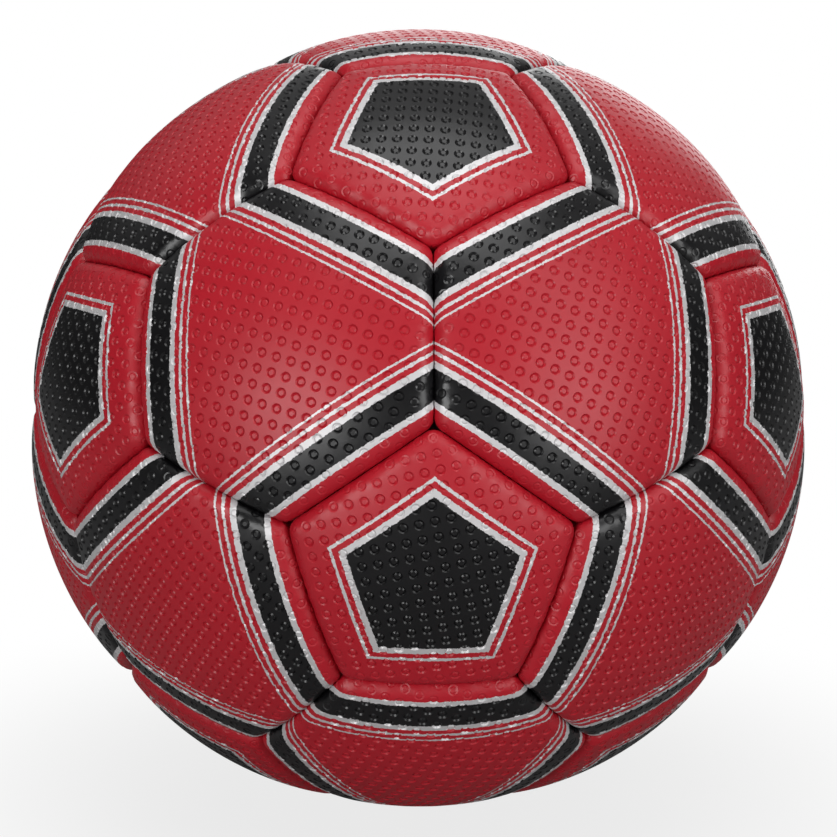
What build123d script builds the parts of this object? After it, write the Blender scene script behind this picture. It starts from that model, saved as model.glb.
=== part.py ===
from build123d import *
import os
from itertools import product
from math import acos, atan, atan2, cos, degrees, floor, pi, radians, sin, sqrt, tan

# A hand-sewn handball of 20 hexagons and 12 pentagons, in millimetres and degrees.
# The origin is the ball's centre, +Z runs up through the middle of a hexagon,
# and the ball rests on the opposite hexagon.

# Ball and pillowed panels
BALL_CIRCUMFERENCE = 590.0  # round the crowns of the hexagons
PILLOW_RISE = 0.9  # a hexagon's crown above the middle of its edges
EDGE_ROLL = 3.2  # radius of the skin's turn down into the seam
CORNER_CUT = 1.1  # how far a panel's corners are cut back from the meeting of three seams

# Layers of a panel, from outside in
SKIN_THICKNESS = 1.3
FOAM_THICKNESS = 3.5
LINING_THICKNESS = 1.6
GLUE_LINE = 0.05
SEAM_ALLOWANCE = 6.8  # depth of the turned-in edge below the crown's rim
SEAM_GAP = 0.2  # between the two turned-in edges of a seam

# Flat waxed thread and its stitches
THREAD_WIDTH = 1.0
THREAD_THICKNESS = 0.6
STITCH_PITCH = 6.0
STITCH_MARGIN = 1.7  # from the stitches to the cut edge of the skin
STITCH_CLEARANCE = 0.1  # round the thread in its slit, and beside it
CORNER_MARGIN = 3.4  # from a seam's end to the nearest stitch

# Bladder and needle valve
BLADDER_THICKNESS = 1.0
BLADDER_CLEARANCE = 0.2
PATCH_DIAMETER = 26.0
PATCH_THICKNESS = 0.6
VALVE_DIAMETER = 9.0
VALVE_RECESS = 0.4  # valve face below the panel's crown
VALVE_LENGTH = 16.0
VALVE_HOLE_CLEARANCE = 0.2
VALVE_FLANGE_DIAMETER = 22.0
VALVE_FLANGE_THICKNESS = 1.2
PLUG_DIAMETER = 6.0
PLUG_FIT = 0.03  # radial clearance of the plug in the valve body
PLUG_COLLAR_HEIGHT = 1.6
PLUG_COLLAR_REACH = 0.6
PLUG_COLLAR_DEPTH = 4.0  # collar's top below the valve face
PLUG_NOSE = 1.5  # how far the plug stands out of the valve body
NEEDLE_BORE_DIAMETER = 2.4
NEEDLE_BORE_DEPTH = 12.0
NEEDLE_SLIT_WIDTH = 0.3

# Geometry of a truncated icosahedron, seen from its centre
GOLDEN = (1 + sqrt(5)) / 2
HEXAGON_ANGLE = degrees(atan(1 / GOLDEN**2))  # hexagon's middle to the middle of its edges
PENTAGON_TO_HEXAGON = degrees(acos(sqrt((5 + 2 * sqrt(5)) / 15)))  # between neighbours' middles
PENTAGON_ANGLE = PENTAGON_TO_HEXAGON - HEXAGON_ANGLE
HALF_EDGE_ANGLE = degrees(atan(tan(radians(30)) * sin(radians(HEXAGON_ANGLE))))
CORNER_ANGLE = degrees(acos(cos(radians(HEXAGON_ANGLE)) * cos(radians(HALF_EDGE_ANGLE))))
PENTAGON_CORNER_ANGLE = degrees(acos(cos(radians(PENTAGON_ANGLE)) * cos(radians(HALF_EDGE_ANGLE))))
NEIGHBOUR_SLACK = 1.0  # degrees allowed when neighbours are looked for

ball_radius = BALL_CIRCUMFERENCE / (2 * pi)
rim_radius = ball_radius - PILLOW_RISE  # from the ball's centre to the middle of a seam's top
seam_half = SEAM_GAP / 2
edge_radius = rim_radius - SEAM_ALLOWANCE  # cut edges of the skins
stitch_radius = edge_radius + STITCH_MARGIN
thread_channel = THREAD_THICKNESS + 2 * STITCH_CLEARANCE


# Crown of a hexagon: a sphere through its middle and the middles of its edges
hexagon_centre = (ball_radius**2 - rim_radius**2) / (
    2 * (ball_radius - rim_radius * cos(radians(HEXAGON_ANGLE)))
)
hexagon_crown = ball_radius - hexagon_centre
corner_radius = hexagon_centre * cos(radians(CORNER_ANGLE)) + sqrt(
    hexagon_crown**2 - (hexagon_centre * sin(radians(CORNER_ANGLE))) ** 2
)

# Crown of a pentagon: the sphere that meets the hexagons' crowns all along its edges
rim_height = rim_radius * cos(radians(PENTAGON_ANGLE))
corner_height = corner_radius * cos(radians(PENTAGON_CORNER_ANGLE))
pentagon_centre = (rim_radius**2 - corner_radius**2) / (2 * (rim_height - corner_height))
pentagon_crown = sqrt(rim_radius**2 - 2 * pentagon_centre * rim_height + pentagon_centre**2)

# Depths of the layers below a crown
foam_top = SKIN_THICKNESS + GLUE_LINE
foam_bottom = foam_top + FOAM_THICKNESS
lining_top = foam_bottom + GLUE_LINE
lining_bottom = lining_top + LINING_THICKNESS

# Heights between which a panel is cut from its wedge
wedge_bottom = edge_radius * cos(radians(CORNER_ANGLE)) - lining_bottom
wedge_top = ball_radius + lining_bottom

# The bladder lies inside the cut edges and the linings
bladder_radius = min(edge_radius, rim_radius - lining_bottom) - BLADDER_CLEARANCE
bladder_inside = bladder_radius - BLADDER_THICKNESS

PANEL_SHAPES = {
    6: (HEXAGON_ANGLE, hexagon_centre, hexagon_crown),
    5: (PENTAGON_ANGLE, pentagon_centre, pentagon_crown),
}


def turned_ball(radius, height=0):
    """A sphere whose poles lie sideways, away from the panel's middle."""
    return Pos(0, 0, height) * Rot(0, 90, 0) * Sphere(radius)


def wedge(sides, angle, inset):
    """The space between a panel's seam planes and its cut corners, each plane moved in by an inset."""
    half_turn = pi / sides
    lean = radians(angle)
    corner_lean = atan(tan(lean) / cos(half_turn)) - CORNER_CUT / ball_radius
    rings = []
    for height in (wedge_bottom, wedge_top):
        side = height * tan(lean) - inset / cos(lean)
        corner = height * tan(corner_lean) - inset / cos(corner_lean)
        half_length = (corner - side * cos(half_turn)) / sin(half_turn)
        ring = []
        for k in range(sides):
            turn = 2 * k * half_turn
            for along in (-half_length, half_length):
                x = side * cos(turn) - along * sin(turn)
                y = side * sin(turn) + along * cos(turn)
                ring.append(Vector(x, y, height))
        rings.append(ring)
    faces = [Face(Wire.make_polygon(ring)) for ring in rings]
    for k in range(2 * sides):
        n = (k + 1) % (2 * sides)
        faces.append(Face(Wire.make_polygon([rings[0][k], rings[0][n], rings[1][n], rings[1][k]])))
    return Solid(Shell(faces))


def pillow(sides, inset, depth, roll):
    """A block under a panel's crown: inset from its seam planes, with a rounded rim."""
    angle, centre, crown = PANEL_SHAPES[sides]
    block = Part() + wedge(sides, angle, inset)
    block = block & turned_ball(crown - depth, centre)
    if roll:
        rim = block.faces().filter_by(GeomType.SPHERE)[0].edges()
        block = fillet(rim, roll)
    return block


def layer(sides, inset, top, bottom):
    """A dished plate between two depths under a panel's crown."""
    angle, centre, crown = PANEL_SHAPES[sides]
    return pillow(sides, inset, top, 0) - turned_ball(crown - bottom, centre)


def seam_plane(sides, k):
    """A seam of a panel in the panel's own frame: x points out of the panel, z at the seam."""
    angle = radians(PANEL_SHAPES[sides][0])
    turn = 2 * pi * k / sides
    outward = Vector(cos(angle) * cos(turn), cos(angle) * sin(turn), -sin(angle))
    middle = Vector(sin(angle) * cos(turn), sin(angle) * sin(turn), cos(angle))
    return Plane(origin=(0, 0, 0), x_dir=outward, z_dir=middle)


# Stitches are spread evenly about the middle of a seam
half_seam = stitch_radius * radians(HALF_EDGE_ANGLE)
stitch_count = 1 + floor(2 * (half_seam - CORNER_MARGIN) / STITCH_PITCH)
stitch_turns = [
    degrees(STITCH_PITCH / stitch_radius) * (k - (stitch_count - 1) / 2) for k in range(stitch_count)
]


def at_stitch(turn, shape):
    """Puts a shape at a stitch, in a seam's frame."""
    return Rot(-turn, 0, 0) * Pos(0, 0, stitch_radius) * shape


def panel_skin(sides):
    """A tray of synthetic leather: pillowed crown, rolled rim and turned-in edges with slits."""
    outside = pillow(sides, seam_half, 0, EDGE_ROLL)
    inside = pillow(sides, seam_half + SKIN_THICKNESS, SKIN_THICKNESS, EDGE_ROLL - SKIN_THICKNESS)
    tray = outside - inside - turned_ball(edge_radius)
    slit = Pos(-seam_half - SKIN_THICKNESS / 2, 0, 0) * Box(
        2 * SKIN_THICKNESS,
        THREAD_WIDTH + 2 * STITCH_CLEARANCE,
        THREAD_THICKNESS + 2 * STITCH_CLEARANCE,
    )
    slits = []
    for k in range(sides):
        place = seam_plane(sides, k).location
        slits += [place * at_stitch(turn, slit) for turn in stitch_turns]
    return tray - slits


def panel_foam(sides):
    """The foam under a skin, as far as the skin's turn down into the seam."""
    return layer(sides, seam_half + EDGE_ROLL, foam_top, foam_bottom)


def panel_lining(sides):
    """The cloth lining under the foam, set in from the turned-in edges to leave the thread its channel."""
    return layer(sides, seam_half + SKIN_THICKNESS + thread_channel, lining_top, lining_bottom)


def seam_thread():
    """One seam's thread: a run along each turned-in edge, joined through the slits."""
    run_face = seam_half + SKIN_THICKNESS + STITCH_CLEARANCE
    tail = degrees(THREAD_WIDTH / stitch_radius)
    ends = [stitch_turns[0] - tail] + stitch_turns[1:-1] + [stitch_turns[-1] + tail]
    outline = []
    for radius, turns in (
        (stitch_radius + THREAD_WIDTH / 2, ends),
        (stitch_radius - THREAD_WIDTH / 2, ends[::-1]),
    ):
        outline += [(radius * sin(radians(t)), radius * cos(radians(t))) for t in turns]
    flat = Plane.YZ.offset(run_face) * Polygon(*outline, align=None)
    run = extrude(flat, THREAD_THICKNESS, dir=(1, 0, 0))
    crossing = Box(2 * run_face + THREAD_THICKNESS, THREAD_WIDTH, THREAD_THICKNESS)
    crossings = [at_stitch(turn, crossing) for turn in stitch_turns]
    return run + mirror(run, Plane.YZ) + crossings


# Directions of the panels' middles, tipped so that a hexagon faces straight up
tip = radians(HEXAGON_ANGLE)


def tipped(x, y, z):
    """A direction of the upright solid in the ball's frame."""
    return Vector(x, y * cos(tip) + z * sin(tip), z * cos(tip) - y * sin(tip)).normalized()


signs = (-1, 1)
pentagon_axes = []
for a, b in product(signs, signs):
    pentagon_axes += [tipped(0, a * GOLDEN, b), tipped(a, 0, b * GOLDEN), tipped(a * GOLDEN, b, 0)]
hexagon_axes = [tipped(a, b, c) for a, b, c in product(signs, signs, signs)]
for a, b in product(signs, signs):
    hexagon_axes += [
        tipped(0, a / GOLDEN, b * GOLDEN),
        tipped(a / GOLDEN, b * GOLDEN, 0),
        tipped(a * GOLDEN, 0, b / GOLDEN),
    ]


def top_down(axis):
    """Sorts the panels from the top of the ball down, and round it."""
    return -round(axis.Z, 6), round(degrees(atan2(axis.X, -axis.Y)), 6)


pentagon_axes.sort(key=top_down)
hexagon_axes.sort(key=top_down)


def neighbours(axis, others, angle):
    """The panels whose middles stand at an angle from this one's."""
    return [other for other in others if abs(axis.get_angle(other) - angle) < NEIGHBOUR_SLACK]


def panel_plane(axis):
    """A panel's frame: z out through its middle, x towards a pentagon's or hexagon's side."""
    others = hexagon_axes if axis in pentagon_axes else pentagon_axes
    toward = neighbours(axis, others, PENTAGON_TO_HEXAGON)[0]
    return Plane(origin=(0, 0, 0), x_dir=toward - axis * toward.dot(axis), z_dir=axis)


def thread_plane(axis, other, angle):
    """A seam's frame between two panels, at an angle from the first one's middle."""
    across = (other - axis * other.dot(axis)).normalized()
    lean = radians(angle)
    outward = across * cos(lean) - axis * sin(lean)
    return Plane(origin=(0, 0, 0), x_dir=outward, z_dir=axis * cos(lean) + across * sin(lean))


hexagon_planes = [panel_plane(axis) for axis in hexagon_axes]
pentagon_planes = [panel_plane(axis) for axis in pentagon_axes]

# The valve sits in the hexagon that faces backwards and a little up
valve_axis = max((axis for axis in hexagon_axes if axis.Z > 0), key=lambda axis: axis.Y)
valve_plane = hexagon_planes[hexagon_axes.index(valve_axis)]

# Heights in the valve's own frame, from the ball's centre outwards
valve_face = ball_radius - VALVE_RECESS
valve_bottom = valve_face - VALVE_LENGTH
valve_radius = VALVE_DIAMETER / 2
flange_radius = VALVE_FLANGE_DIAMETER / 2
plug_radius = PLUG_DIAMETER / 2


def valve_hole(radius):
    """A round way through a panel's layers at the valve."""
    return Pos(0, 0, ball_radius) * Cylinder(radius, ball_radius)


def turned(points):
    """A solid of revolution from a closed outline of radius and height."""
    return revolve(make_face(Plane.XZ * Polyline(*points, close=True)), Axis.Z)


def bladder():
    """A hollow sphere with a round hole for the valve."""
    skin = turned_ball(bladder_radius) - turned_ball(bladder_inside)
    return skin - valve_hole(valve_radius + GLUE_LINE)


def valve_patch():
    """A reinforcing ring on the outside of the bladder."""
    inside = bladder_radius + GLUE_LINE
    ring = Pos(0, 0, ball_radius) * Cylinder(PATCH_DIAMETER / 2, ball_radius)
    ring = ring & (turned_ball(inside + PATCH_THICKNESS) - turned_ball(inside))
    return ring - valve_hole(valve_radius + GLUE_LINE)


def valve_body():
    """A rubber tube whose flange is bonded to the inside of the bladder."""
    seat = bladder_inside - GLUE_LINE
    neck_height = sqrt(seat**2 - valve_radius**2)
    rim_top = sqrt(seat**2 - flange_radius**2)
    groove_top = valve_face - PLUG_COLLAR_DEPTH + PLUG_FIT
    groove_bottom = groove_top - PLUG_COLLAR_HEIGHT - 2 * PLUG_FIT
    cavity = plug_radius + PLUG_FIT
    groove = cavity + PLUG_COLLAR_REACH
    return turned(
        [
            (cavity, valve_face),
            (valve_radius, valve_face),
            (valve_radius, neck_height),
            (flange_radius, rim_top),
            (flange_radius, rim_top - VALVE_FLANGE_THICKNESS / 2),
            (valve_radius, neck_height - VALVE_FLANGE_THICKNESS),
            (valve_radius, valve_bottom),
            (cavity, valve_bottom),
            (cavity, groove_bottom),
            (groove, groove_bottom),
            (groove, groove_top),
            (cavity, groove_top),
        ]
    )


def valve_plug():
    """A soft plug with a bore for the needle and a slit that closes when the needle leaves."""
    collar = plug_radius + PLUG_COLLAR_REACH
    collar_top = valve_face - PLUG_COLLAR_DEPTH
    bore = NEEDLE_BORE_DIAMETER / 2
    bore_end = valve_face - NEEDLE_BORE_DEPTH
    nose_end = valve_bottom - PLUG_NOSE
    plug = turned(
        [
            (bore, valve_face),
            (plug_radius, valve_face),
            (plug_radius, collar_top),
            (collar, collar_top),
            (collar, collar_top - PLUG_COLLAR_HEIGHT),
            (plug_radius, collar_top - PLUG_COLLAR_HEIGHT),
            (plug_radius, valve_bottom),
            (bore, nose_end),
            (0, nose_end),
            (0, bore_end),
            (bore, bore_end),
        ]
    )
    slit_length = bore_end - nose_end
    slit = Pos(0, 0, bore_end - slit_length / 2) * Box(NEEDLE_SLIT_WIDTH, 2 * bore, 2 * slit_length)
    return plug - slit


def save(name, shape):
    """Writes one piece, or a group of like pieces, to its own file."""
    export_step(shape, os.path.join("parts", name + ".step"), write_pcurves=False)


def placed(shape, planes):
    """Copies of a shape at each of some frames, as separate solids."""
    return Compound([plane.location * shape.solid() for plane in planes])


os.makedirs("parts", exist_ok=True)

hexagon_skin = panel_skin(6)
pentagon_skin = panel_skin(5)
skin_hole = valve_hole(valve_radius + VALVE_HOLE_CLEARANCE)
for number, plane in enumerate(hexagon_planes, start=1):
    if plane is valve_plane:
        save("hexagon_panel_valve", plane.location * (hexagon_skin - skin_hole).solid())
    else:
        save(f"hexagon_panel_{number:02d}", plane.location * hexagon_skin.solid())
for number, plane in enumerate(pentagon_planes, start=1):
    save(f"pentagon_panel_{number:02d}", plane.location * pentagon_skin.solid())

plain_planes = [plane for plane in hexagon_planes if plane is not valve_plane]
for name, shape in (("hexagon_foams", panel_foam(6)), ("hexagon_linings", panel_lining(6))):
    pieces = placed(shape, plain_planes).solids()
    pieces += placed(shape - skin_hole, [valve_plane]).solids()
    save(name, Compound(pieces))
save("pentagon_foams", placed(panel_foam(5), pentagon_planes))
save("pentagon_linings", placed(panel_lining(5), pentagon_planes))

thread = seam_thread()
hexagon_seams = []
pentagon_seams = []
for index, axis in enumerate(hexagon_axes):
    for other in neighbours(axis, hexagon_axes[index + 1 :], 2 * HEXAGON_ANGLE):
        hexagon_seams.append(thread_plane(axis, other, HEXAGON_ANGLE))
    for other in neighbours(axis, pentagon_axes, PENTAGON_TO_HEXAGON):
        pentagon_seams.append(thread_plane(axis, other, HEXAGON_ANGLE))
save("hexagon_seam_threads", placed(thread, hexagon_seams))
save("pentagon_seam_threads", placed(thread, pentagon_seams))

save("bladder", valve_plane.location * bladder().solid())
save("valve_patch", valve_plane.location * valve_patch().solid())
save("valve_body", valve_plane.location * valve_body().solid())
save("valve_plug", valve_plane.location * valve_plug().solid())

print(f"ball {2 * ball_radius:.2f} mm across, seams {rim_radius:.2f} mm from the centre")
print(f"{len(hexagon_seams)} and {len(pentagon_seams)} seams with {stitch_count} stitches each")
print(f"valve axis {valve_axis.X:.6f} {valve_axis.Y:.6f} {valve_axis.Z:.6f}, face at {valve_face:.3f} mm")
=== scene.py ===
# %% [markdown]
# # A hand-sewn handball in Blender
# The ball's cover is sewn from 20 hexagons and 12 pentagons of dimpled synthetic leather, and each
# panel is a small closed cushion: skin outside, foam and cloth behind it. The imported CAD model
# comes in first as a fixed frame, so every new piece goes where the frame says.

# %% Load the frame and keep its box
import math

import bpy
import numpy as np
from mathutils import Matrix, Vector


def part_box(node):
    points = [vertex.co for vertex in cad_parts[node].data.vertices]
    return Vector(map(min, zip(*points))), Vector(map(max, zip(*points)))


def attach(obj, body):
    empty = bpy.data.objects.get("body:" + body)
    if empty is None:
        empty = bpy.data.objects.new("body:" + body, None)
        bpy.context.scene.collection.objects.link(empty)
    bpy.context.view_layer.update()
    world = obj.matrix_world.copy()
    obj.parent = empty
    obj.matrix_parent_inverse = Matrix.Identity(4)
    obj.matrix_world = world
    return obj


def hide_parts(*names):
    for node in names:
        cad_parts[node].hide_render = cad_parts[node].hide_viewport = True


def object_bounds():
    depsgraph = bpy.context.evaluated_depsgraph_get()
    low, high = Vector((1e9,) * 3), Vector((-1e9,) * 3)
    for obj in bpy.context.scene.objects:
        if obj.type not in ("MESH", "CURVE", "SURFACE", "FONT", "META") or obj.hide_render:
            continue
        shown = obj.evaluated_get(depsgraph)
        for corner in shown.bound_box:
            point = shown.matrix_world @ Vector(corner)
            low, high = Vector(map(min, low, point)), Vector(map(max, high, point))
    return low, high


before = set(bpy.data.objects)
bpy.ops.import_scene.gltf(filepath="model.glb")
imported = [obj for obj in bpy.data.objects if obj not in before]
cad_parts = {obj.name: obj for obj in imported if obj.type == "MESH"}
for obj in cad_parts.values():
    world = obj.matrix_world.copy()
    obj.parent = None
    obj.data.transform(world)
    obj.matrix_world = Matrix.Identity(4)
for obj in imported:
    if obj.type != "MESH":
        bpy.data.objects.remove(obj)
cad_low, cad_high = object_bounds()
MM = 0.001
ball_radius = (cad_high.z - cad_low.z) / 2 / MM
print(f"frame: {len(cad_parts)} nodes, ball {2 * ball_radius:.1f} mm across")

# %% [markdown]
# ## Camera
# A picture can only be compared from the same place, so the camera comes before any piece. The
# photograph was taken from about five radii away and a little above the middle of the ball. A long
# lens at that distance gives the same slight perspective, and a small roll and a small shift of
# the picture match its tilt and its framing.

# %% Camera
# metres, degrees, millimetres for the lens and the sensor, and a share of the picture for its shift
CAMERA_DISTANCE = 0.484
CAMERA_AZIMUTH = -2.0
CAMERA_ELEVATION = 10.0
CAMERA_ROLL = 0.5
LENS = 85.0
SENSOR = 36.0
PICTURE_SHIFT = 0.0018
CLIP_START = 0.01

azimuth, elevation = math.radians(CAMERA_AZIMUTH), math.radians(CAMERA_ELEVATION)
toward_camera = Vector(
    (
        math.sin(azimuth) * math.cos(elevation),
        -math.cos(azimuth) * math.cos(elevation),
        math.sin(elevation),
    )
)
bpy.ops.object.camera_add(location=toward_camera * CAMERA_DISTANCE)
camera = bpy.context.object
camera.name = "camera"
camera.data.lens = LENS
camera.data.sensor_width = SENSOR
camera.data.shift_y = PICTURE_SHIFT
camera.data.clip_start = CLIP_START
looking = toward_camera.to_track_quat("Z", "Y").to_matrix()
roll = Matrix.Rotation(math.radians(CAMERA_ROLL), 3, "Z")
camera.rotation_euler = (looking @ roll).to_euler()
bpy.context.scene.camera = camera
print("camera at", [round(x, 3) for x in camera.location])

# %% [markdown]
# ## Where the panels go
# The 32 panels face the corners and the face middles of an icosahedron. Working the directions out
# from the golden ratio keeps them exact, and tipping the solid turns one hexagon to the very top.
# Each direction is then matched with the CAD panel that lies there.

# %% Panel directions
GOLDEN = (1 + math.sqrt(5)) / 2
HEXAGON_ANGLE = math.atan(1 / GOLDEN**2)
PENTAGON_TO_HEXAGON = math.acos(math.sqrt((5 + 2 * math.sqrt(5)) / 15))
PENTAGON_ANGLE = PENTAGON_TO_HEXAGON - HEXAGON_ANGLE
SIGNS = (-1, 1)
tip = Matrix.Rotation(-HEXAGON_ANGLE, 3, "X")


def spread(*steps):
    """The tipped directions of some steps along x, y and z, with every choice of signs."""
    found = []
    for x, y, z in steps:
        for a, b, c in sorted({(a * x, b * y, c * z) for a in SIGNS for b in SIGNS for c in SIGNS}):
            found.append((tip @ Vector((a, b, c))).normalized())
    return found


pentagon_axes = spread((0, GOLDEN, 1), (1, 0, GOLDEN), (GOLDEN, 1, 0))
hexagon_axes = spread(
    (1, 1, 1), (0, 1 / GOLDEN, GOLDEN), (1 / GOLDEN, GOLDEN, 0), (GOLDEN, 0, 1 / GOLDEN)
)
print(f"directions of {len(hexagon_axes)} hexagons and {len(pentagon_axes)} pentagons")

# %% Panel frames
# by how many radians the angle between two neighbours may differ
NEIGHBOUR_SLACK = 0.02
# digits that decide which neighbour comes first
SORT_DIGITS = 4


def panel_frame(axis, others):
    """A panel's turn: z out through its middle, x towards the first neighbour of the other kind."""
    near = [o for o in others if abs(axis.angle(o) - PENTAGON_TO_HEXAGON) < NEIGHBOUR_SLACK]
    toward = min(near, key=lambda o: [round(v, SORT_DIGITS) for v in (-o.z, o.x, o.y)])
    x = (toward - axis * toward.dot(axis)).normalized()
    return Matrix((x, axis.cross(x), axis)).transposed()


def node_direction(node):
    """The way a CAD node lies from the ball's middle."""
    low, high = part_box(node)
    return ((low + high) / 2).normalized()


panel_places = {}
for kind, axes, others in (
    ("hexagon", hexagon_axes, pentagon_axes),
    ("pentagon", pentagon_axes, hexagon_axes),
):
    for node in sorted(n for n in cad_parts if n.startswith(kind + "_panel_")):
        way = node_direction(node)
        axis = max(axes, key=way.dot)
        panel_places[node] = panel_frame(axis, others)
print(f"{len(panel_places)} panels placed")

# %% [markdown]
# ## One dimple of the leather
# The synthetic leather is embossed all over with small round pits on a square grid. A bump map
# would vanish at the outline, so the pits are real. One tile is made from a circle that is inset
# twice, down into a groove and up again to a flat middle, and its outer edge is pulled out to a
# square that fits its neighbours. The rim and the middle are marked sharp, which keeps the leather
# between the pits flat without more faces. Small work is easier at a large scale, so one Blender
# unit is a millimetre until the panel is bent.

# %% Helpers for meshes


def start_clean():
    """Leaves nothing selected and no mesh open, so that the next operator meets only its own piece."""
    if bpy.context.object and bpy.context.object.mode != "OBJECT":
        bpy.ops.object.mode_set(mode="OBJECT")
    bpy.ops.object.select_all(action="DESELECT")


def coordinates(mesh):
    """A mesh's points as rows of x, y, z."""
    points = np.zeros(len(mesh.vertices) * 3)
    mesh.vertices.foreach_get("co", points)
    return points.reshape(-1, 3)


def set_coordinates(mesh, points):
    """Puts a mesh's points at new places."""
    mesh.vertices.foreach_set("co", np.ascontiguousarray(points, np.float32).ravel())
    mesh.update()


# %% Dimple tile
DIMPLE_PITCH = 3.3
DIMPLE_RADIUS = 1.15
# a multiple of four, so that each corner of the square gets a point
DIMPLE_POINTS = 12
# width of each ring inside the rim and how far its inner edge goes up
DIMPLE_RINGS = ((0.30, -0.32), (0.33, 0.24))


def dimple_tile():
    """A square of leather with one pit in its middle, in millimetres."""
    start_clean()
    bpy.ops.mesh.primitive_circle_add(vertices=DIMPLE_POINTS, radius=DIMPLE_RADIUS, fill_type="NGON")
    tile = bpy.context.object
    # half a right angle brings a point to each corner
    tile.data.transform(Matrix.Rotation(math.pi / 4, 4, "Z"))
    bpy.ops.object.mode_set(mode="EDIT")
    bpy.ops.mesh.select_mode(type="FACE")
    bpy.ops.mesh.select_all(action="SELECT")
    bpy.ops.mesh.mark_sharp()
    for width, rise in DIMPLE_RINGS:
        bpy.ops.mesh.inset(thickness=width, depth=rise)
    bpy.ops.mesh.mark_sharp()
    bpy.ops.mesh.select_mode(type="EDGE")
    bpy.ops.mesh.select_all(action="DESELECT")
    bpy.ops.mesh.select_non_manifold()
    bpy.ops.mesh.extrude_edges_move()
    bpy.ops.mesh.mark_sharp(clear=True)
    bpy.ops.object.mode_set(mode="OBJECT")
    points = coordinates(tile.data)
    moved = [v.index for v in tile.data.vertices if v.select]
    reach = np.abs(points[moved, :2]).max(axis=1, keepdims=True)
    points[moved, :2] *= DIMPLE_PITCH / 2 / reach
    set_coordinates(tile.data, points)
    return tile


# %% [markdown]
# ## A flat panel
# The tile is repeated with two Array modifiers and cut to the panel's outline with Bisect, which
# leaves clean edges wherever the outline crosses a pit. The cut is wider than the panel that shows,
# because its edge is turned in at the seam. The grid lies at a slant, as leather is cut from a roll
# without regard to its grain. Extruding the edge down and closing it makes a flat cushion.

# %% Flat panel
# leather beyond the seam
TURN_IN = 4.6
CORNER_ROUND = 3.5
# where the back lies, and how its rings shrink one after the other
BACK_LEVEL = -20.0
BACK_RINGS = (0.72, 0.62, 0.5)
# slant of the dimples in degrees, by the number of sides
LATTICE_TURN = {6: 10.0, 5: 31.0}
# tiles more than the outline needs
SPARE_TILES = 3
# points as close as this become one, between tiles and along a cut
MERGE_WIDTH = 0.01
CUT_WIDTH = 0.0005


def seam_reach(sides):
    """Flat distances from a panel's middle to its seams and to its rounded corners."""
    angle = {6: HEXAGON_ANGLE, 5: PENTAGON_ANGLE}[sides]
    corner = math.atan(math.tan(angle) / math.cos(math.pi / sides))
    inside = math.sin(math.pi / 2 - math.pi / sides)
    return ball_radius * angle, ball_radius * corner - CORNER_ROUND * (1 / inside - 1)


def apply_array(piece, count, step):
    """Repeats a piece in a row that is centred on it."""
    array = piece.modifiers.new("row", "ARRAY")
    array.count = count
    array.use_relative_offset = False
    array.use_constant_offset = True
    array.constant_offset_displace = step
    array.use_merge_vertices = True
    array.merge_threshold = MERGE_WIDTH
    bpy.ops.object.modifier_apply(modifier=array.name)
    piece.data.transform(Matrix.Translation(Vector(step) * (1 - count) / 2))


def flat_panel(sides):
    """A closed, flat cushion of dimpled leather, in millimetres."""
    panel = dimple_tile()
    seam, corner = seam_reach(sides)
    count = 2 * math.ceil((corner + TURN_IN) / DIMPLE_PITCH) + SPARE_TILES
    apply_array(panel, count, (DIMPLE_PITCH, 0, 0))
    apply_array(panel, count, (0, DIMPLE_PITCH, 0))
    panel.data.transform(Matrix.Rotation(math.radians(LATTICE_TURN[sides]), 4, "Z"))
    bpy.ops.object.mode_set(mode="EDIT")
    for k in range(2 * sides):
        turn = math.pi * k / sides
        way = Vector((math.cos(turn), math.sin(turn), 0))
        reach = (corner if k % 2 else seam) + TURN_IN
        bpy.ops.mesh.select_all(action="SELECT")
        bpy.ops.mesh.bisect(plane_co=way * reach, plane_no=way, clear_outer=True, threshold=CUT_WIDTH)
    bpy.ops.mesh.select_mode(type="EDGE")
    bpy.ops.mesh.select_all(action="DESELECT")
    bpy.ops.mesh.select_non_manifold()
    bpy.ops.mesh.extrude_edges_move(TRANSFORM_OT_translate={"value": (0, 0, BACK_LEVEL)})
    for share in BACK_RINGS:
        bpy.ops.mesh.extrude_edges_move()
        bpy.ops.transform.resize(value=(share, share, 1), center_override=(0, 0, BACK_LEVEL))
    bpy.ops.mesh.edge_face_add()
    bpy.ops.mesh.poke()
    bpy.ops.mesh.select_all(action="SELECT")
    bpy.ops.mesh.normals_make_consistent(inside=False)
    bpy.ops.object.mode_set(mode="OBJECT")
    return panel


# %% [markdown]
# ## Laying out the print
# The print has to lie flat on the panel before it is bent, so the flat shape's own x and y are kept
# as a UV map in millimetres. A second map fits the same shape into a square picture, with the
# hidden back in one corner, for a renderer that needs its colours as an image.

# %% UV maps
# half the width of flat leather that the square holds, in millimetres
BAKE_HALF_WIDTH = 47.0
# middle and size of the back's corner, as shares of the square
BACK_CORNER = 0.075
BACK_SHARE = 0.13


def keep_flat_maps(mesh, flat):
    """Keeps the flat outline as two UV maps: in millimetres, and fitted to a unit square."""
    corners = np.zeros(len(mesh.loops), np.int64)
    mesh.loops.foreach_get("vertex_index", corners)
    face_of_corner = np.repeat(np.arange(len(mesh.polygons)), [p.loop_total for p in mesh.polygons])
    lowest = np.full(len(mesh.polygons), np.inf)
    np.minimum.at(lowest, face_of_corner, flat[corners, 2])
    behind = (lowest < BACK_LEVEL / 2)[face_of_corner]
    plan = flat[corners, :2]
    unit = 0.5 + plan / (2 * BAKE_HALF_WIDTH)
    small = BACK_CORNER + (unit - 0.5) * BACK_SHARE
    for name, places in (
        ("PanelFlat", plan),
        ("OFBake", np.where(behind[:, None], small, unit)),
    ):
        layer = mesh.uv_layers.new(name=name)
        layer.uv.foreach_set("vector", places.astype(np.float32).ravel())


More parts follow.
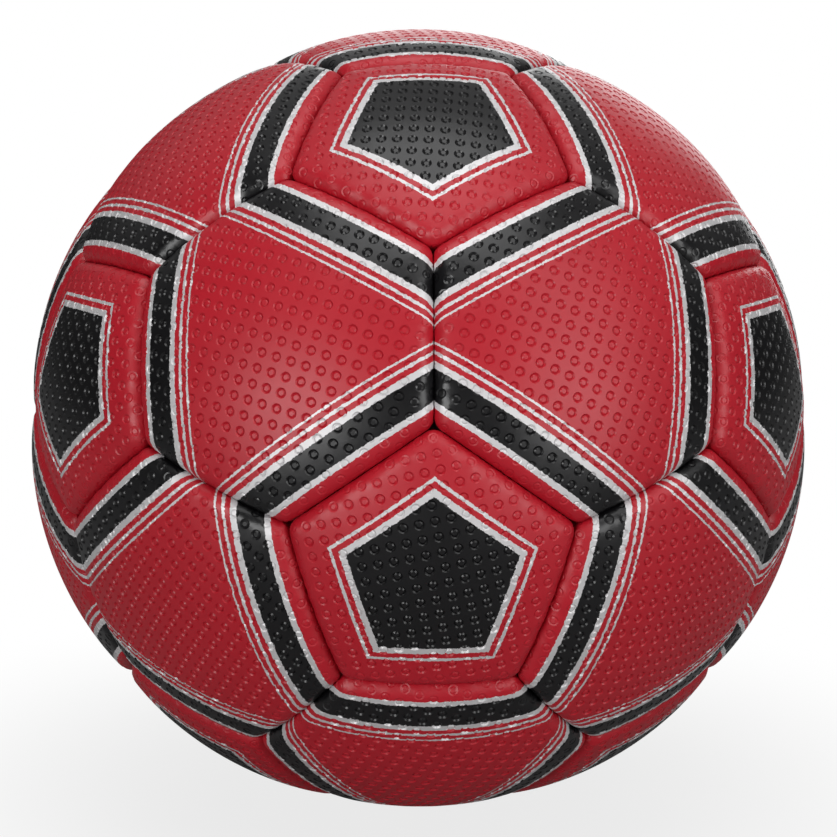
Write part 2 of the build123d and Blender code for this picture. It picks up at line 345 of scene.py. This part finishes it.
# %% [markdown]
# ## Bending a panel onto the ball
# A sewn panel is tight in the middle, rolls over at its edge and goes straight down into the seam.
# Cloth simulation would wash out the dimples, so the flat cushion is bent by a rule instead: each
# point is wrapped on the crown, and within a few millimetres of a seam its distance to the seam
# plane is spent on a quarter circle and then on the way down. The stitches pull small puckers, and
# the pits are stretched shallow where the leather turns.

# %% Crown of a panel
# how far a hexagon's middle stands out beyond the middle of its seams
PILLOW_RISE = 0.9
rim_radius = ball_radius - PILLOW_RISE


def crown_of(sides):
    """The angle to a panel's seams, and the height of the middle and the radius of its crown."""
    rim_height = rim_radius * math.cos(HEXAGON_ANGLE)
    centre = (ball_radius**2 - rim_radius**2) / (2 * (ball_radius - rim_height))
    crown = ball_radius - centre
    if sides == 6:
        return HEXAGON_ANGLE, centre, crown
    half_edge = math.atan(math.tan(math.pi / 6) * math.sin(HEXAGON_ANGLE))
    corner = math.acos(math.cos(HEXAGON_ANGLE) * math.cos(half_edge))
    low_corner = math.acos(math.cos(PENTAGON_ANGLE) * math.cos(half_edge))
    corner_radius = centre * math.cos(corner) + math.sqrt(crown**2 - (centre * math.sin(corner)) ** 2)
    rim_height = rim_radius * math.cos(PENTAGON_ANGLE)
    corner_height = corner_radius * math.cos(low_corner)
    centre = (rim_radius**2 - corner_radius**2) / (2 * (rim_height - corner_height))
    return PENTAGON_ANGLE, centre, math.sqrt(rim_radius**2 - 2 * centre * rim_height + centre**2)


print(f"the crowns of two hexagons meet {rim_radius:.1f} mm from the ball's middle")

# %% Distance to the seams
STITCH_PITCH = 6.0
# a shift from side to side in whole stitches, which keeps the puckers in step but not the creases
STITCHES_PER_SIDE = 7
# keeps a division from zero
TINY = 1e-9


def to_seam(base, sides, angle):
    """What lies between points and their nearest seam.

    Gives the distance to it with round corners, the way to it, the place along it, and how much
    farther away the next seam is.
    """
    turns = 2 * np.pi * np.arange(sides) / sides
    planes = np.column_stack(
        [np.cos(angle) * np.cos(turns), np.cos(angle) * np.sin(turns), np.full(sides, -np.sin(angle))]
    )
    along = np.column_stack([-np.sin(turns), np.cos(turns), np.zeros(sides)])
    room = -base @ planes.T
    order = np.argsort(room, axis=1)
    rows = np.arange(len(base))
    near, next_near = room[rows, order[:, 0]], room[rows, order[:, 1]]
    first, second = planes[order[:, 0]], planes[order[:, 1]]
    shared = (first * second).sum(1)
    a, b = CORNER_ROUND - near, CORNER_ROUND - next_near
    first_share = (a - b * shared) / (1 - shared**2)
    second_share = (b - a * shared) / (1 - shared**2)
    arc = first * first_share[:, None] + second * second_share[:, None]
    length = np.maximum(np.linalg.norm(arc, axis=1), TINY)
    corner = (b > 0) & (first_share > 0) & (second_share > 0)
    distance = np.where(corner, CORNER_ROUND - length, near)
    way = np.where(corner[:, None], arc / length[:, None], first)
    place = (base * along[order[:, 0]]).sum(1) + order[:, 0] * STITCHES_PER_SIDE * STITCH_PITCH
    return distance, way, place, next_near - near


# %% Bend rule
# radius that rolls into the seam, how far two panels press each other, and half the gap that stays
EDGE_ROLL = 3.2
SEAM_PRESS = 0.35
SEAM_HALF = 0.03
# the skin sinks towards the seams
SAG = 0.7
SAG_REACH = 5.0
# how far the cushions' backs are from the ball's middle
BACK_RADIUS = 86.45
# the stitches' puckers, which fade towards a corner
PUCKER = 0.10
PUCKER_REACH = 3.5
PUCKER_FROM_CORNER = (1.0, 9.0)
# fine creases beside the seams
CREASE = 0.04
CREASE_PERIODS = (3.1, 5.3)
CREASE_FROM_SEAM = 2.0
CREASE_REACH = 3.0
# the share of a pit's depth that is lost, and how far from the seam that starts and is full
PIT_LOSS = 0.65
PIT_LOSS_START = 6.5
PIT_LOSS_FULL = 1.0
# no point of the front is pressed in deeper than this
FRONT_DEPTH = 1.0


def soft_step(low, high, value):
    """0 below low, 1 above high and smooth between."""
    t = np.clip((value - low) / (high - low), 0, 1)
    return t * t * (3 - 2 * t)


def bent(flat, sides):
    """The flat cushion's points on the ball, in millimetres, with the panel's middle on +Z."""
    angle, centre, crown = crown_of(sides)
    reach = np.linalg.norm(flat[:, :2], axis=1)
    side = flat[:, :2] / np.maximum(reach, TINY)[:, None]
    turn = reach / crown
    base = np.column_stack([side * (crown * np.sin(turn))[:, None], centre + crown * np.cos(turn)])
    out = base / np.linalg.norm(base, axis=1)[:, None]
    distance, way, place, corner_room = to_seam(base, sides, angle)
    spent = EDGE_ROLL - SEAM_PRESS - distance
    roll = np.clip(spent / EDGE_ROLL, 0, np.pi / 2)
    stand = np.where(spent > 0, EDGE_ROLL * (1 - np.sin(roll)) - SEAM_PRESS, distance)
    stand = np.maximum(stand, SEAM_HALF)
    sink = EDGE_ROLL * (1 - np.cos(roll)) + np.maximum(spent - EDGE_ROLL * np.pi / 2, 0)
    edge = np.exp(-np.maximum(distance, 0) / SAG_REACH)
    sink = sink + SAG * edge
    stitched = np.exp(-np.maximum(distance, 0) / PUCKER_REACH)
    stitched = stitched * soft_step(*PUCKER_FROM_CORNER, corner_room)
    sink = sink + PUCKER * stitched * np.cos(2 * np.pi * place / STITCH_PITCH)
    creased = np.exp(-(((distance - CREASE_FROM_SEAM) / CREASE_REACH) ** 2))
    for period in CREASE_PERIODS:
        creased = creased * np.cos(2 * np.pi * place / period)
    sink = sink + CREASE * creased
    normal = out * np.cos(roll)[:, None] + way * np.sin(roll)[:, None]
    stretched = 1 - PIT_LOSS * soft_step(-PIT_LOSS_START, -PIT_LOSS_FULL, -distance)
    skin = base + way * (distance - stand)[:, None] - out * sink[:, None]
    front = skin + normal * (np.maximum(flat[:, 2], -FRONT_DEPTH) * stretched)[:, None]
    back = skin * (BACK_RADIUS / np.linalg.norm(skin, axis=1))[:, None]
    return np.where(flat[:, 2:] < BACK_LEVEL / 2, back, front)


# %% [markdown]
# ## The two patterns of panel
# Only one hexagon and one pentagon are made from scratch. Everything else is a turned copy.

# %% Make one panel of each kind
panel_patterns = {}
for sides in (6, 5):
    panel = flat_panel(sides)
    flat = coordinates(panel.data)
    keep_flat_maps(panel.data, flat)
    set_coordinates(panel.data, bent(flat, sides) * MM)
    start_clean()
    panel.select_set(True)
    bpy.ops.object.shade_smooth()
    panel_patterns[sides] = panel
    faces = sum(len(p.vertices) - 2 for p in panel.data.polygons)
    print(f"{sides}-sided panel: {len(panel.data.vertices)} points, {faces} triangles")

# %% [markdown]
# ## Leather finish
# The panels are red synthetic leather with a satin face. The print is worked out from the distance
# to the seams round the pentagons, so it needs no picture: a colour ramp over that distance gives
# each hexagon black bands between silver lines, with two thin lines beside them, and each pentagon
# a black middle in a silver frame. A little noise in the distance makes the ink's edge as ragged as
# ink on leather is. The black ink is glossier than the leather, and the silver ink has metal in it.

# %% Helpers for node materials
# places of a colour mix's sockets in a Mix node
MIX_FACTOR, MIX_A, MIX_B, MIX_RESULT = 0, 6, 7, 2


def new_finish(name):
    """A material with its Principled shader, as (material, nodes, links, shader)."""
    finish = bpy.data.materials.new(name)
    finish.use_nodes = True
    tree = finish.node_tree
    return finish, tree.nodes, tree.links, tree.nodes["Principled BSDF"]


def put(links, socket, value):
    """Sets a socket to a number or colour, or links it to another node's output."""
    if isinstance(value, bpy.types.NodeSocket):
        links.new(value, socket)
    else:
        socket.default_value = value


def calc(nodes, links, operation, *values):
    """A Math node's result."""
    node = nodes.new("ShaderNodeMath")
    node.operation = operation
    for socket, value in zip(node.inputs, values):
        put(links, socket, value)
    return node.outputs[0]


def noise(nodes, links, where, pattern):
    """A Noise texture's value, for a pattern of (scale, detail)."""
    node = nodes.new("ShaderNodeTexNoise")
    put(links, node.inputs["Vector"], where)
    node.inputs["Scale"].default_value, node.inputs["Detail"].default_value = pattern
    return node.outputs["Fac"]


def varied(nodes, links, where, pattern, low, high):
    """A value that wanders between low and high."""
    wander = noise(nodes, links, where, pattern)
    return calc(nodes, links, "MULTIPLY_ADD", wander, high - low, low)


def shaded(nodes, links, colour, level):
    """A colour made darker or lighter by a value."""
    node = nodes.new("ShaderNodeMix")
    node.data_type = "RGBA"
    node.blend_type = "MULTIPLY"
    put(links, node.inputs[MIX_FACTOR], 1.0)
    put(links, node.inputs[MIX_A], colour)
    put(links, node.inputs[MIX_B], level)
    return node.outputs[MIX_RESULT]


def emboss(nodes, links, shader, height, strength, depth):
    """Fine relief on a finish, from a texture's value."""
    bump = nodes.new("ShaderNodeBump")
    bump.inputs["Strength"].default_value = strength
    bump.inputs["Distance"].default_value = depth
    links.new(height, bump.inputs["Height"])
    links.new(bump.outputs["Normal"], shader.inputs["Normal"])


def linear(red, green, blue):
    """A screen colour from 0 to 255 as Blender's linear colour."""
    parts = [x / 255 for x in (red, green, blue)]
    return (*[x / 12.92 if x <= 0.04045 else ((x + 0.055) / 1.055) ** 2.4 for x in parts], 1.0)


# %% Print
RED = linear(175, 18, 35)
BLACK = linear(10, 9, 11)
SILVER = linear(214, 212, 213)
# where each colour starts, in millimetres from the seam, and how far the ramp reaches
HEXAGON_PRINT = (
    (0.0, RED), (3.4, SILVER), (4.8, BLACK), (10.6, SILVER), (12.0, RED),
    (13.2, SILVER), (13.9, RED), (15.1, SILVER), (15.5, RED),
)
PENTAGON_PRINT = ((0.0, RED), (8.6, SILVER), (9.3, RED), (10.5, SILVER), (11.9, BLACK))
PRINT_WIDTH = 30.0
# how many sides of a panel have print along them
PRINTED_SIDES = {6: 3, 5: 5}


def seam_distance(nodes, links, sides):
    """How far a point of the flat panel is from the nearest printed side, in millimetres."""
    flat = nodes.new("ShaderNodeUVMap")
    flat.uv_map = "PanelFlat"
    farthest = None
    for k in range(PRINTED_SIDES[sides]):
        turn = 2 * math.pi * k / PRINTED_SIDES[sides]
        along = nodes.new("ShaderNodeVectorMath")
        along.operation = "DOT_PRODUCT"
        links.new(flat.outputs["UV"], along.inputs[0])
        along.inputs[1].default_value = (math.cos(turn), math.sin(turn), 0)
        reach = along.outputs["Value"]
        farthest = reach if farthest is None else calc(nodes, links, "MAXIMUM", farthest, reach)
    return calc(nodes, links, "SUBTRACT", seam_reach(sides)[0], farthest)


def print_ramp(nodes, print_steps):
    """A colour ramp that goes from one ink to the next in sharp steps."""
    ramp = nodes.new("ShaderNodeValToRGB")
    ramp.color_ramp.interpolation = "CONSTANT"
    stops = ramp.color_ramp.elements
    stops.remove(stops[1])
    for number, (start, colour) in enumerate(print_steps):
        stop = stops[0] if number == 0 else stops.new(start / PRINT_WIDTH)
        stop.color = colour
    return ramp


# %% Leather
# scale and detail of each noise, and between what it varies
RAGGED_NOISE = (1700.0, 3.0)
RAGGED = 0.3
TONE_NOISE = (45.0, 4.0)
TONE = (0.88, 1.12)
GLOSS_NOISE = (160.0, 3.0)
ROUGHNESS = (0.36, 0.48)
GRAIN_NOISE = (1600.0, 3.0)
GRAIN_STRENGTH = 0.25
GRAIN_DEPTH = 0.00006
# brightness that tells the black and the silver ink from the leather, and how they shine
BLACK_BELOW = 0.03
BLACK_GLOSS = 0.10
SILVER_ABOVE = 0.3
SILVER_METAL = 0.5
SILVER_MATT = 0.12


def leather(name, sides, print_steps):
    """Satin synthetic leather with print along the seams round the pentagons."""
    finish, nodes, links, shader = new_finish(name)
    place = nodes.new("ShaderNodeTexCoord").outputs["Object"]
    ragged = varied(nodes, links, place, RAGGED_NOISE, -RAGGED, RAGGED)
    inside = calc(nodes, links, "ADD", seam_distance(nodes, links, sides), ragged)
    ramp = print_ramp(nodes, print_steps)
    links.new(calc(nodes, links, "DIVIDE", inside, PRINT_WIDTH), ramp.inputs[0])
    ink = ramp.outputs["Color"]
    tone = varied(nodes, links, place, TONE_NOISE, *TONE)
    links.new(shaded(nodes, links, ink, tone), shader.inputs["Base Color"])
    black = calc(nodes, links, "LESS_THAN", ink, BLACK_BELOW)
    silver = calc(nodes, links, "GREATER_THAN", ink, SILVER_ABOVE)
    links.new(calc(nodes, links, "MULTIPLY", silver, SILVER_METAL), shader.inputs["Metallic"])
    gloss = varied(nodes, links, place, GLOSS_NOISE, *ROUGHNESS)
    gloss = calc(nodes, links, "MULTIPLY_ADD", black, -BLACK_GLOSS, gloss)
    gloss = calc(nodes, links, "MULTIPLY_ADD", silver, SILVER_MATT, gloss)
    links.new(gloss, shader.inputs["Roughness"])
    grain = noise(nodes, links, place, GRAIN_NOISE)
    emboss(nodes, links, shader, grain, GRAIN_STRENGTH, GRAIN_DEPTH)
    return finish


hexagon_leather = leather("hexagon_leather", 6, HEXAGON_PRINT)
pentagon_leather = leather("pentagon_leather", 5, PENTAGON_PRINT)
print("leather finishes:", hexagon_leather.name, pentagon_leather.name)

# %% [markdown]
# ## All 32 panels
# Each copy gets its own mesh with its place in it. A hexagon is turned by thirds and a pentagon by
# fifths from one copy to the next, so the slant of the dimples changes as on a real ball while the
# print still meets at the seams.

# %% Copy the panels
# a panel's number of sides, finish, slot, and the CAD layers behind it
COVER_KINDS = {
    "hexagon": (6, hexagon_leather, "hexagon_leather", ("hexagon_foams", "hexagon_linings")),
    "pentagon": (5, pentagon_leather, "pentagon_leather", ("pentagon_foams", "pentagon_linings")),
}


def place_panel(node, number, sides, finish, slot, inner_nodes):
    """One panel of the cover at a CAD panel's place."""
    name = node.replace("_panel_", "_cover_")
    mesh = panel_patterns[sides].data.copy()
    mesh.name = name
    step = 2 * math.pi / PRINTED_SIDES[sides]
    turn = panel_places[node] @ Matrix.Rotation(step * number, 3, "Z")
    mesh.transform(turn.to_4x4())
    mesh.materials.clear()
    mesh.materials.append(finish)
    panel = bpy.data.objects.new(name, mesh)
    bpy.context.scene.collection.objects.link(panel)
    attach(panel, "root")
    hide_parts(node, *inner_nodes)
    return panel


covers = {}
for number, node in enumerate(panel_places, start=1):
    kind = node.split("_")[0]
    covers[node] = place_panel(node, number, *COVER_KINDS[kind])
for pattern in panel_patterns.values():
    bpy.data.objects.remove(pattern)
print(f"{len(covers)} panels sewn")

# %% [markdown]
# ## The valve hole
# One hexagon at the back has a round hole with the valve in it. A Boolean cut through the closed
# cushion gives the hole its own wall. Points that the cut leaves almost on top of each other are
# merged.

# %% Cut the valve hole
VALVE_HOLE_RADIUS = 4.7
HOLE_POINTS = 48
HOLE_DEPTH = 30.0
valve_turn = panel_places["hexagon_panel_valve"].to_4x4()

start_clean()
bpy.ops.mesh.primitive_cylinder_add(
    vertices=HOLE_POINTS, radius=VALVE_HOLE_RADIUS * MM, depth=HOLE_DEPTH * MM
)
drill = bpy.context.object
drill.data.transform(valve_turn @ Matrix.Translation((0, 0, ball_radius * MM)))
start_clean()
valve_panel = covers["hexagon_panel_valve"]
bpy.context.view_layer.objects.active = valve_panel
valve_panel.select_set(True)
cut = valve_panel.modifiers.new("hole", "BOOLEAN")
cut.operation = "DIFFERENCE"
cut.object = drill
bpy.ops.object.modifier_apply(modifier=cut.name)
bpy.data.objects.remove(drill)
bpy.ops.object.mode_set(mode="EDIT")
bpy.ops.mesh.select_all(action="SELECT")
bpy.ops.mesh.remove_doubles(threshold=MERGE_WIDTH * MM)
bpy.ops.object.mode_set(mode="OBJECT")
print(f"valve panel: {len(valve_panel.data.polygons)} faces")

# %% [markdown]
# ## Rubber finish
# The valve's body and plug are moulded rubber, and their CAD shapes are right as they are, so they
# keep their meshes and only get this finish: nearly black, matt, with a faint bloom.

# %% Rubber finish
VALVE_RUBBER = linear(52, 50, 52)
PLUG_RUBBER = linear(34, 33, 35)
BLADDER_RUBBER = linear(44, 40, 40)
RUBBER_ROUGHNESS = 0.5
PLUG_ROUGHNESS = 0.45
ROUGHNESS_SPREAD = 0.2
BLOOM = (0.75, 1.25)
# scale and detail of each noise
BLOOM_NOISE = (220.0, 4.0)
RUBBER_GLOSS_NOISE = (700.0, 2.0)
RUBBER_GRAIN_NOISE = (2500.0, 2.0)
RUBBER_GRAIN_STRENGTH = 0.2
RUBBER_GRAIN_DEPTH = 0.00005


def rubber(name, colour, rough):
    """Matt moulded rubber with a faint bloom."""
    finish, nodes, links, shader = new_finish(name)
    place = nodes.new("ShaderNodeTexCoord").outputs["Object"]
    bloom = varied(nodes, links, place, BLOOM_NOISE, *BLOOM)
    links.new(shaded(nodes, links, colour, bloom), shader.inputs["Base Color"])
    gloss = varied(nodes, links, place, RUBBER_GLOSS_NOISE, rough, rough + ROUGHNESS_SPREAD)
    links.new(gloss, shader.inputs["Roughness"])
    grain = noise(nodes, links, place, RUBBER_GRAIN_NOISE)
    emboss(nodes, links, shader, grain, RUBBER_GRAIN_STRENGTH, RUBBER_GRAIN_DEPTH)
    return finish


for node, colour, rough in (
    ("valve_body", VALVE_RUBBER, RUBBER_ROUGHNESS),
    ("valve_plug", PLUG_RUBBER, PLUG_ROUGHNESS),
):
    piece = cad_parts[node]
    piece.data.materials.clear()
    piece.data.materials.append(rubber(node + "_rubber", colour, rough))
    print("finished", node)

# %% [markdown]
# ## Bladder
# The bladder is a thin rubber ball that holds the air. It is moulded in two halves, so a low ridge
# runs round it where the mould parts. A sphere gets two more loops beside its equator, the equator
# is pulled out a little, and Bisect takes off the pole, where the valve's neck goes through. Then
# Solidify gives the skin its thickness on the inside.

# %% Helpers for the inner pieces


def fit_inside(piece, node, finish):
    """Gives a hidden piece its finish and puts it in place of a CAD node."""
    piece.name = node + "_skin"
    piece.data.name = piece.name
    piece.data.materials.clear()
    piece.data.materials.append(finish)
    start_clean()
    piece.select_set(True)
    bpy.ops.object.shade_smooth()
    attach(piece, "root")
    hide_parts(node)


def thicken_inwards(piece, thickness):
    """Turns a surface into a wall whose outside stays where it is."""
    wall = piece.modifiers.new("wall", "SOLIDIFY")
    wall.thickness = thickness * MM
    wall.offset = -1
    bpy.context.view_layer.objects.active = piece
    bpy.ops.object.modifier_apply(modifier=wall.name)


# %% Bladder
BLADDER_SKIN = 1.0
BLADDER_RINGS = 36
NECK_HOLE_RADIUS = 4.55
# half the width of the mould's ridge, and how much wider it makes the equator
RIDGE_HALF_WIDTH = 0.8
RIDGE_SCALE = 1.0015
bladder_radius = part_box("bladder")[1].z / MM

start_clean()
bpy.ops.mesh.primitive_uv_sphere_add(
    segments=2 * BLADDER_RINGS, ring_count=BLADDER_RINGS, radius=bladder_radius * MM
)
bladder = bpy.context.object
bpy.ops.object.mode_set(mode="EDIT")
for level in (-RIDGE_HALF_WIDTH, RIDGE_HALF_WIDTH):
    bpy.ops.mesh.select_all(action="SELECT")
    bpy.ops.mesh.bisect(plane_co=(0, 0, level * MM), plane_no=(0, 0, 1))
# the cap between the pole and the first ring is a cone
neck_height = bladder_radius - NECK_HOLE_RADIUS * math.tan(math.pi / (2 * BLADDER_RINGS))
bpy.ops.mesh.select_all(action="SELECT")
bpy.ops.mesh.bisect(plane_co=(0, 0, neck_height * MM), plane_no=(0, 0, 1), clear_outer=True)
bpy.ops.mesh.select_mode(type="VERT")
bpy.ops.mesh.select_all(action="DESELECT")
bpy.ops.object.mode_set(mode="OBJECT")
for point in bladder.data.vertices:
    point.select = abs(point.co.z) < RIDGE_HALF_WIDTH * MM / 2
bpy.ops.object.mode_set(mode="EDIT")
bpy.ops.transform.resize(value=(RIDGE_SCALE, RIDGE_SCALE, 1), center_override=(0, 0, 0))
bpy.ops.object.mode_set(mode="OBJECT")
thicken_inwards(bladder, BLADDER_SKIN)
bladder.data.transform(valve_turn)
bladder_finish = rubber("bladder_rubber", BLADDER_RUBBER, RUBBER_ROUGHNESS)
fit_inside(bladder, "bladder", bladder_finish)
print(f"bladder: {2 * bladder_radius:.1f} mm across, {len(bladder.data.polygons)} faces")

# %% [markdown]
# ## Valve patch
# A round rubber patch stiffens the bladder round the valve. The edge of its hole is extruded
# outwards ring by ring, the rings are laid on the bladder by a formula, and Solidify thickens them.
# The rim is pressed down, as a skived edge is.

# %% Valve patch
PATCH_RADII = (6.5, 8.5, 10.5, 12.2, 13.0)
PATCH_SKIN = 0.55
# height of the outside above the bladder, in the middle and at the rim
PATCH_LIFT = 0.6
SKIVED_LIFT = 0.24

start_clean()
bpy.ops.mesh.primitive_circle_add(vertices=HOLE_POINTS, radius=NECK_HOLE_RADIUS)
patch = bpy.context.object
bpy.ops.object.mode_set(mode="EDIT")
bpy.ops.mesh.select_all(action="SELECT")
for inner, outer in zip((NECK_HOLE_RADIUS, *PATCH_RADII), PATCH_RADII):
    bpy.ops.mesh.extrude_edges_move()
    bpy.ops.transform.resize(value=(outer / inner, outer / inner, 1), center_override=(0, 0, 0))
bpy.ops.object.mode_set(mode="OBJECT")
if patch.data.polygons[0].normal.z < 0:
    patch.data.flip_normals()
flat = coordinates(patch.data)
from_axis = np.linalg.norm(flat[:, :2], axis=1)
lift = np.where(from_axis > sum(PATCH_RADII[-2:]) / 2, SKIVED_LIFT, PATCH_LIFT)
flat[:, 2] = np.sqrt((bladder_radius + lift) ** 2 - from_axis**2)
set_coordinates(patch.data, flat * MM)
thicken_inwards(patch, PATCH_SKIN)
patch.data.transform(valve_turn)
fit_inside(patch, "valve_patch", bladder_finish)
print(f"patch: {2 * PATCH_RADII[-1]:.0f} mm across")

# %% [markdown]
# ## Thread in the seams
# The panels are sewn from inside with a saddle stitch: two waxed threads pass through every hole in
# opposite directions, so that each side of the seam has a run of thread between all its holes. A
# path curve with a bevel makes a thread quickly, and one seam's pair is copied to all 90 seams.

# %% One seam's threads
THREAD_RADIUS = 0.28
# how far a thread runs beside the seam, goes on past its last hole, and lies above or below its twin
THREAD_SIDE = 1.8
THREAD_TAIL = 1.0
THREAD_LIFT = 0.3
# how deep the stitches lie, and how many a seam has
STITCH_DEPTH = 5.1
STITCHES = 5
# a low order and few steps keep the bends tight and the faces few
THREAD_ORDER = 3
THREAD_STEPS = 2


def thread_route(side, lift):
    """The points of one thread in a seam's frame: x across the seam, y along it, z outwards."""
    radius = rim_radius - STITCH_DEPTH + lift
    turns = [(k - (STITCHES - 1) / 2) * STITCH_PITCH / radius for k in range(STITCHES)]
    stops = [(side, turns[0] - THREAD_TAIL / radius)]
    for turn in turns:
        stops += [(side, turn), (-side, turn)]
        side = -side
    stops.append((side, turns[-1] + THREAD_TAIL / radius))
    return [Vector((x * THREAD_SIDE, radius * math.sin(t), radius * math.cos(t))) for x, t in stops]


def thread_along(route):
    """A thread as a mesh tube along a route."""
    start_clean()
    bpy.ops.curve.primitive_nurbs_path_add()
    thread = bpy.context.object
    path = thread.data.splines[0]
    path.points.add(len(route) - len(path.points))
    for point, place in zip(path.points, route):
        point.co = (*(place * MM), 1)
    path.order_u = THREAD_ORDER
    path.use_endpoint_u = True
    thread.data.resolution_u = THREAD_STEPS
    thread.data.bevel_depth = THREAD_RADIUS * MM
    thread.data.bevel_resolution = 0
    thread.data.use_fill_caps = True
    bpy.ops.object.convert(target="MESH")
    return bpy.context.object


seam_threads = [thread_along(thread_route(side, side * THREAD_LIFT)) for side in SIGNS]
print(f"one seam's threads: {sum(len(t.data.polygons) for t in seam_threads)} faces")

# %% Sew all the seams
WAXED_THREAD = linear(40, 36, 36)


def seam_turn(axis, other):
    """A seam's frame between a hexagon and its neighbour."""
    across = (other - axis * other.dot(axis)).normalized()
    x = across * math.cos(HEXAGON_ANGLE) - axis * math.sin(HEXAGON_ANGLE)
    z = axis * math.cos(HEXAGON_ANGLE) + across * math.sin(HEXAGON_ANGLE)
    return Matrix((x, z.cross(x), z)).transposed().to_4x4()


def sew(node, pairs, finish):
    """All the threads of one kind of seam, joined into one piece."""
    copies = []
    for axis, other in pairs:
        for thread in seam_threads:
            mesh = thread.data.copy()
            mesh.transform(seam_turn(axis, other))
            copies.append(bpy.data.objects.new(node, mesh))
            bpy.context.scene.collection.objects.link(copies[-1])
    start_clean()
    for copy in copies:
        copy.select_set(True)
    bpy.context.view_layer.objects.active = copies[0]
    bpy.ops.object.join()
    fit_inside(copies[0], node, finish)


waxed_thread = rubber("waxed_thread", WAXED_THREAD, RUBBER_ROUGHNESS)
for node, others, angle in (
    ("hexagon_seam_threads", hexagon_axes, 2 * HEXAGON_ANGLE),
    ("pentagon_seam_threads", pentagon_axes, PENTAGON_TO_HEXAGON),
):
    pairs = []
    for number, axis in enumerate(hexagon_axes):
        later = hexagon_axes[number + 1 :] if others is hexagon_axes else others
        pairs += [(axis, other) for other in later if abs(axis.angle(other) - angle) < NEIGHBOUR_SLACK]
    sew(node, pairs, waxed_thread)
    print(f"{len(pairs)} seams in {node}")
for thread in seam_threads:
    bpy.data.objects.remove(thread)

# %% [markdown]
# ## Floor, background and light
# The photograph is a studio picture on white with broad soft light from above and in front. The
# floor and the world are white for the camera, and reflections get only a faint share of that
# white. Near the ball the floor's white is painted a little grey, a painted shadow, and the ball's
# real shadow shows faintly through it. Five large area lamps, and a pale glow of the world above
# and behind, give the soft gradient from the top of the ball down.

# %% Helpers for the studio
WHITE = (1, 1, 1, 1)
# how much of the white is left in reflections
GLOSSY_SHARE = 0.04


def smooth_range(nodes, links, value, low, high, start=0.0):
    """A value that goes smoothly from start at low to 1 at high."""
    node = nodes.new("ShaderNodeMapRange")
    node.interpolation_type = "SMOOTHSTEP"
    node.inputs["From Min"].default_value = low
    node.inputs["From Max"].default_value = high
    node.inputs["To Min"].default_value = start
    links.new(value, node.inputs["Value"])
    return node.outputs["Result"]


def white_share(nodes, links):
    """1 for what the camera sees, and a faint share for reflections."""
    rays = nodes.new("ShaderNodeLightPath").outputs
    seen = calc(nodes, links, "MAXIMUM", rays["Is Camera Ray"], rays["Is Transmission Ray"])
    return calc(nodes, links, "MULTIPLY_ADD", rays["Is Glossy Ray"], GLOSSY_SHARE, seen)


# %% Floor
FLOOR_SIZE = 6.0
FLOOR_GREY = (0.2, 0.2, 0.2, 1)
FLOOR_ROUGHNESS = 0.9
# share of white under the ball, which paints a shadow there, and between which distances it grows
#  to all white, in metres
SHADOW_WHITE = 0.8
SHADOW_REACH = (0.04, 0.18)

start_clean()
bpy.ops.mesh.primitive_plane_add(size=FLOOR_SIZE, location=(0, 0, cad_low.z))
floor = bpy.context.object
floor.name = "floor"
floor_white, nodes, links, shader = new_finish("floor_white")
shader.inputs["Base Color"].default_value = FLOOR_GREY
shader.inputs["Roughness"].default_value = FLOOR_ROUGHNESS
shown = nodes.new("ShaderNodeEmission")
shown.inputs["Color"].default_value = WHITE
away = nodes.new("ShaderNodeVectorMath")
away.operation = "LENGTH"
links.new(nodes.new("ShaderNodeTexCoord").outputs["Object"], away.inputs[0])
# the floor is less white near the ball: a painted shadow round its foot
far = smooth_range(nodes, links, away.outputs["Value"], *SHADOW_REACH, SHADOW_WHITE)
mixed = nodes.new("ShaderNodeMixShader")
links.new(calc(nodes, links, "MULTIPLY", white_share(nodes, links), far), mixed.inputs[0])
links.new(shader.outputs[0], mixed.inputs[1])
links.new(shown.outputs[0], mixed.inputs[2])
links.new(mixed.outputs[0], nodes["Material Output"].inputs["Surface"])
floor.data.materials.append(floor_white)
print(f"floor at {cad_low.z / MM:.1f} mm")

# %% World
WORLD_LIGHT = 0.02
BACK_GLOW = 0.36
# heights and depths of a direction between which the glow grows
GLOW_ABOVE = (0.1, 0.6)
GLOW_BEHIND = (-0.2, 0.5)

world = bpy.data.worlds.new("studio")
bpy.context.scene.world = world
world.use_nodes = True
nodes, links = world.node_tree.nodes, world.node_tree.links
way = nodes.new("ShaderNodeSeparateXYZ")
links.new(nodes.new("ShaderNodeTexCoord").outputs["Generated"], way.inputs[0])
above = smooth_range(nodes, links, way.outputs["Z"], *GLOW_ABOVE)
behind = smooth_range(nodes, links, way.outputs["Y"], *GLOW_BEHIND)
glow = calc(nodes, links, "MULTIPLY", above, behind)
level = calc(nodes, links, "MULTIPLY_ADD", glow, BACK_GLOW, WORLD_LIGHT)
level = calc(nodes, links, "MAXIMUM", level, white_share(nodes, links))
nodes["Background"].inputs["Color"].default_value = WHITE
links.new(level, nodes["Background"].inputs["Strength"])

# %% Lamps
# each lamp's place and width in metres, and its power in watts
LAMPS = {
    "top_light": ((0.0, -0.3, 1.2), 0.9, 7.2),
    "left_light": ((-0.75, -1.12, 0.15), 0.7, 10.4),
    "low_right_light": ((0.85, -1.05, 0.15), 0.7, 6.8),
    "high_right_light": ((0.95, -0.85, 0.95), 0.9, 5.2),
    "back_light": ((0.3, 1.3, 0.35), 0.9, 8.0),
}

for name, (place, width, power) in LAMPS.items():
    bpy.ops.object.light_add(type="AREA", location=place)
    lamp = bpy.context.object
    lamp.name = name
    lamp.data.size = width
    lamp.data.energy = power
    lamp.rotation_euler = Vector(place).to_track_quat("Z", "Y").to_euler()
bpy.context.scene.view_settings.view_transform = "Standard"
